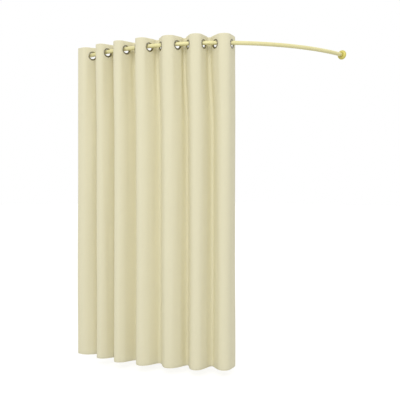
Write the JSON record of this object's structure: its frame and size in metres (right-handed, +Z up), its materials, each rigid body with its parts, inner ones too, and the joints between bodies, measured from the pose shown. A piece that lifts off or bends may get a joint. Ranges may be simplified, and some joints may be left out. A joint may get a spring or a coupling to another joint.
{
  "type": "corner fitting room",
  "caption": "Corner fitting room: a quarter-circle rail between two walls, with a floor-length eyelet curtain that draws along it to close the cubicle.",
  "frame": {"origin": "centre of the left wall seat's back face, where the rail's centre line meets the left wall", "axes": "+Z up; +X straight out of the left wall, along the rail where it leaves that wall; +Y towards the right wall, along the rail where it reaches that wall; the rail bows out towards +X and -Y"},
  "size_m": [1.23, 1.2561, 2],
  "materials": {
    "gilt": "pale gold plating on steel tube and pressings, polished",
    "nickel": "bright nickel plating",
    "zinc": "bright zinc plating",
    "cloth": "plain-woven cream polyester, lightly slubbed"
  },
  "bodies": {
    "rail": {"rail_tube_left": "gilt", "rail_tube_right": "gilt", "rail_spigot": "zinc", "spigot_screw_left": "zinc", "spigot_screw_right": "zinc", "wall_seat_left": "gilt", "wall_seat_right": "gilt", "wall_cover_left": "gilt", "wall_cover_right": "gilt", "seat_screw_left": "zinc", "seat_screw_right": "zinc", "curtain_01": "cloth", "eyelet_front_01": "nickel", "eyelet_back_01": "nickel"},
    "eyelet_02": {"eyelet_front_02": "nickel", "eyelet_back_02": "nickel", "curtain_02": "cloth"},
    "eyelet_03": {"eyelet_front_03": "nickel", "eyelet_back_03": "nickel", "curtain_03": "cloth"},
    "eyelet_04": {"eyelet_front_04": "nickel", "eyelet_back_04": "nickel", "curtain_04": "cloth"},
    "eyelet_05": {"eyelet_front_05": "nickel", "eyelet_back_05": "nickel", "curtain_05": "cloth"},
    "eyelet_06": {"eyelet_front_06": "nickel", "eyelet_back_06": "nickel", "curtain_06": "cloth"},
    "eyelet_07": {"eyelet_front_07": "nickel", "eyelet_back_07": "nickel", "curtain_07": "cloth"},
    "eyelet_08": {"eyelet_front_08": "nickel", "eyelet_back_08": "nickel", "curtain_08": "cloth"},
    "eyelet_09": {"eyelet_front_09": "nickel", "eyelet_back_09": "nickel", "curtain_09": "cloth"},
    "eyelet_10": {"eyelet_front_10": "nickel", "eyelet_back_10": "nickel", "curtain_10": "cloth"},
    "eyelet_11": {"eyelet_front_11": "nickel", "eyelet_back_11": "nickel", "curtain_11": "cloth"},
    "eyelet_12": {"eyelet_front_12": "nickel", "eyelet_back_12": "nickel", "curtain_12": "cloth"},
    "eyelet_13": {"eyelet_front_13": "nickel", "eyelet_back_13": "nickel", "curtain_13": "cloth"}
  },
  "joints": [
    {"name": "curtain_draw", "type": "hinge", "parent": "rail", "child": "eyelet_13", "pos_m": [0, 1.2, 0], "axis": [0, 0, 1], "range_deg": [-8.4, 33.8], "deforming": ["curtain_13"]},
    {"name": "eyelet_12_run", "type": "hinge", "parent": "rail", "child": "eyelet_12", "pos_m": [0, 1.2, 0], "axis": [0, 0, 1], "range_deg": [-8, 31.9], "deforming": ["curtain_12"]},
    {"name": "eyelet_11_run", "type": "hinge", "parent": "rail", "child": "eyelet_11", "pos_m": [0, 1.2, 0], "axis": [0, 0, 1], "range_deg": [-7.2, 28.7], "deforming": ["curtain_11"]},
    {"name": "eyelet_10_run", "type": "hinge", "parent": "rail", "child": "eyelet_10", "pos_m": [0, 1.2, 0], "axis": [0, 0, 1], "range_deg": [-6.6, 26.5], "deforming": ["curtain_10"]},
    {"name": "eyelet_09_run", "type": "hinge", "parent": "rail", "child": "eyelet_09", "pos_m": [0, 1.2, 0], "axis": [0, 0, 1], "range_deg": [-5.8, 23], "deforming": ["curtain_09"]},
    {"name": "eyelet_08_run", "type": "hinge", "parent": "rail", "child": "eyelet_08", "pos_m": [0, 1.2, 0], "axis": [0, 0, 1], "range_deg": [-5.3, 21.4], "deforming": ["curtain_08"]},
    {"name": "eyelet_07_run", "type": "hinge", "parent": "rail", "child": "eyelet_07", "pos_m": [0, 1.2, 0], "axis": [0, 0, 1], "range_deg": [-4.6, 18.3], "deforming": ["curtain_07"]},
    {"name": "eyelet_06_run", "type": "hinge", "parent": "rail", "child": "eyelet_06", "pos_m": [0, 1.2, 0], "axis": [0, 0, 1], "range_deg": [-4.1, 16.2], "deforming": ["curtain_06"]},
    {"name": "eyelet_05_run", "type": "hinge", "parent": "rail", "child": "eyelet_05", "pos_m": [0, 1.2, 0], "axis": [0, 0, 1], "range_deg": [-3.2, 12.8], "deforming": ["curtain_05"]},
    {"name": "eyelet_04_run", "type": "hinge", "parent": "rail", "child": "eyelet_04", "pos_m": [0, 1.2, 0], "axis": [0, 0, 1], "range_deg": [-2.6, 10.3], "deforming": ["curtain_04"]},
    {"name": "eyelet_03_run", "type": "hinge", "parent": "rail", "child": "eyelet_03", "pos_m": [0, 1.2, 0], "axis": [0, 0, 1], "range_deg": [-1.7, 6.6], "deforming": ["curtain_03"]},
    {"name": "eyelet_02_run", "type": "hinge", "parent": "rail", "child": "eyelet_02", "pos_m": [0, 1.2, 0], "axis": [0, 0, 1], "range_deg": [-1, 3.9], "deforming": ["curtain_02", "curtain_01"]}
  ],
  "couplings": [
    {"joint": "eyelet_12_run", "follows": "curtain_draw", "ratio": 0.9426},
    {"joint": "eyelet_11_run", "follows": "curtain_draw", "ratio": 0.8469},
    {"joint": "eyelet_10_run", "follows": "curtain_draw", "ratio": 0.7816},
    {"joint": "eyelet_09_run", "follows": "curtain_draw", "ratio": 0.6802},
    {"joint": "eyelet_08_run", "follows": "curtain_draw", "ratio": 0.6307},
    {"joint": "eyelet_07_run", "follows": "curtain_draw", "ratio": 0.5407},
    {"joint": "eyelet_06_run", "follows": "curtain_draw", "ratio": 0.478},
    {"joint": "eyelet_05_run", "follows": "curtain_draw", "ratio": 0.3785},
    {"joint": "eyelet_04_run", "follows": "curtain_draw", "ratio": 0.3028},
    {"joint": "eyelet_03_run", "follows": "curtain_draw", "ratio": 0.1938},
    {"joint": "eyelet_02_run", "follows": "curtain_draw", "ratio": 0.1128}
  ]
}
